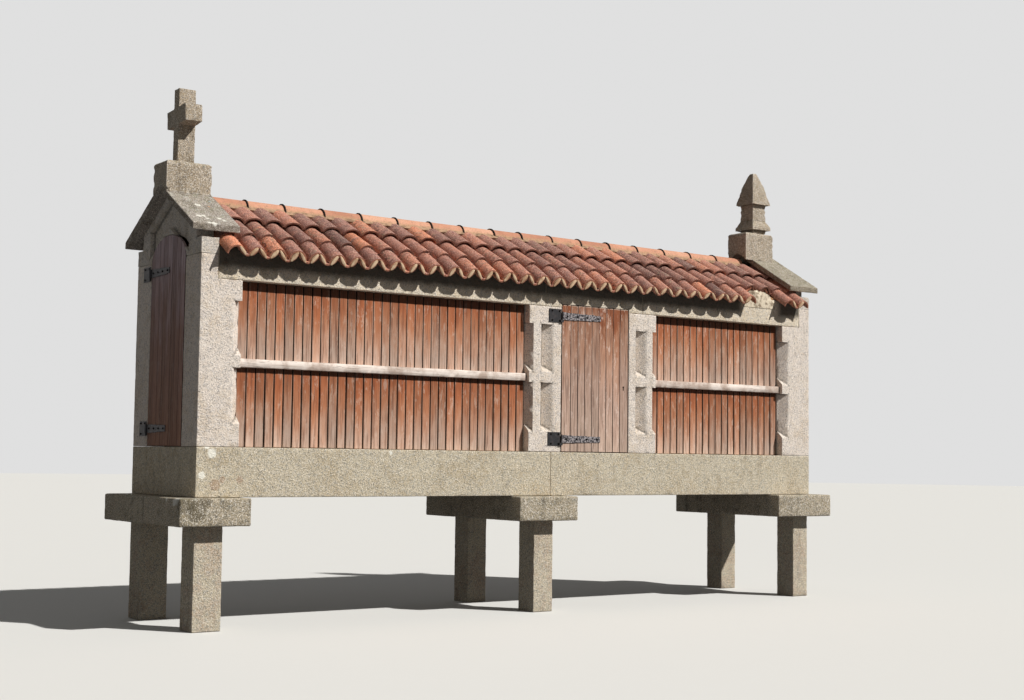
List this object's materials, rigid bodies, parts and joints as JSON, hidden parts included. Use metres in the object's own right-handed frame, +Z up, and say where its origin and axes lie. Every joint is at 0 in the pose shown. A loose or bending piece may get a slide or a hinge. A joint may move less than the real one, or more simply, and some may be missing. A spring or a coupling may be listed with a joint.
{
  "type": "raised granary",
  "caption": "Long narrow stone granary raised on legs with flat caps, boarded bays, side and gable doors, tiled roof between stone slabs, cross and pinnacle.",
  "frame": {"origin": "on the ground, below the middle of the chamber", "axes": "+Z up, +X along the building towards the pinnacle end, -Y towards the long front with the side door"},
  "size_m": [7.61, 1.7, 4.7204],
  "materials": {
    "granite": "rough dressed, lichen",
    "bay_boards": "weathered stain",
    "side_door_wood": "weathered stain",
    "gable_door_wood": "weathered stain",
    "grey_timber": "weathered grey",
    "inner_timber": "raw aged",
    "roof_tile": "matt, weathered",
    "wrought_iron": "dark, rusted"
  },
  "bodies": {
    "granary": {"beam_front": "granite", "beam_rear": "granite", "boards_front_left": "bay_boards", "boards_front_right": "bay_boards", "boards_rear": "bay_boards", "cap_left": "granite", "cap_middle": "granite", "cap_right": "granite", "corner_post_front_left": "granite", "corner_post_front_right": "granite", "corner_post_rear_left": "granite", "corner_post_rear_right": "granite", "cross": "granite", "door_post_left": "granite", "door_post_right": "granite", "floor_planks": "inner_timber", "gable_door_plates": "wrought_iron", "gable_head_left": "granite", "gable_head_right": "granite", "gable_wall_right": "granite", "legs_front": "granite", "legs_rear": "granite", "lintel_front": "granite", "lintel_rear": "granite", "pedestal_left": "granite", "pedestal_right": "granite", "pinnacle": "granite", "rails_front": "grey_timber", "rails_rear": "grey_timber", "rear_post_left": "granite", "rear_post_right": "granite", "ridge_beam": "inner_timber", "ridge_tiles": "roof_tile", "roof_boards": "inner_timber", "roof_tiles_front": "roof_tile", "roof_tiles_rear": "roof_tile", "side_door_plates": "wrought_iron", "sill_left": "granite", "sill_right": "granite", "verge_slabs_left": "granite", "verge_slabs_right": "granite"},
    "side_door": {"side_door": "side_door_wood", "side_door_straps": "wrought_iron"},
    "gable_door": {"gable_door": "gable_door_wood", "gable_door_straps": "wrought_iron"}
  },
  "joints": [
    {"name": "side_door_hinge", "type": "hinge", "parent": "granary", "child": "side_door", "pos_m": [0.173, -0.694, 2.2], "axis": [0, 0, -1], "range_deg": [0, 150]},
    {"name": "gable_door_hinge", "type": "hinge", "parent": "granary", "child": "gable_door", "pos_m": [-3.624, 0.362, 2.4], "axis": [0, 0, -1], "range_deg": [0, 150]}
  ]
}
